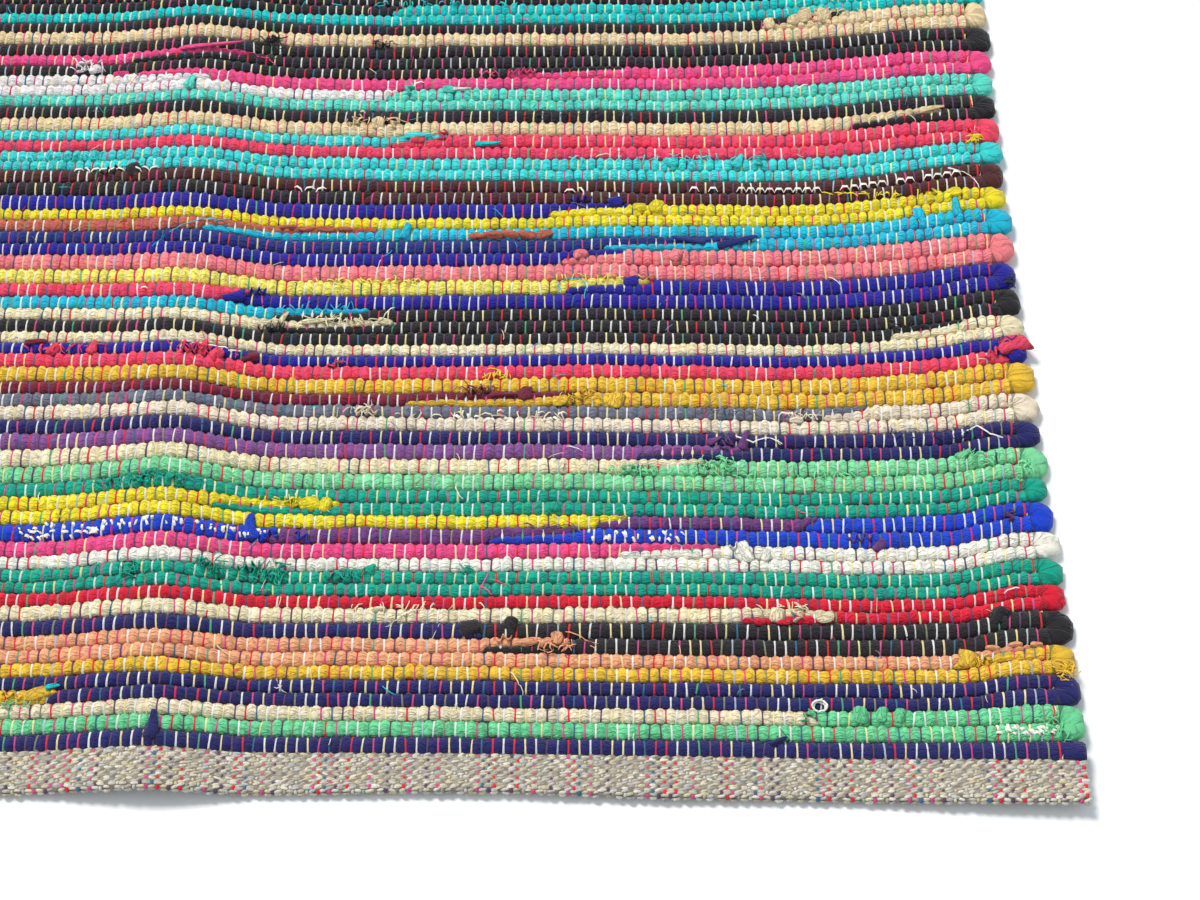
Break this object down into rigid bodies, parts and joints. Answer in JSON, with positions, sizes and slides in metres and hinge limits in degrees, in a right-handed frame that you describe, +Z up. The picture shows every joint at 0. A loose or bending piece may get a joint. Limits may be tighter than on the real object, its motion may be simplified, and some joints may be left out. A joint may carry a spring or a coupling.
{
  "type": "rag rug",
  "caption": "Hand-woven rag rug of cloth strips over a striped cotton warp, with looped selvedges and plain-woven hems.",
  "frame": {"origin": "middle of the underside, on the surface that the rug lies on", "axes": "+X along the rag weft, towards the right selvedge; +Y along the warp, from the near hem to the far one; +Z up out of the face"},
  "size_m": [0.6129, 0.9, 0.0195],
  "materials": {
    "rag_cloth": "matt, many-coloured knitted cotton strips with a thin cotton warp"
  },
  "bodies": {
    "root": {"rug_cloth": "rag_cloth"}
  },
  "joints": []
}
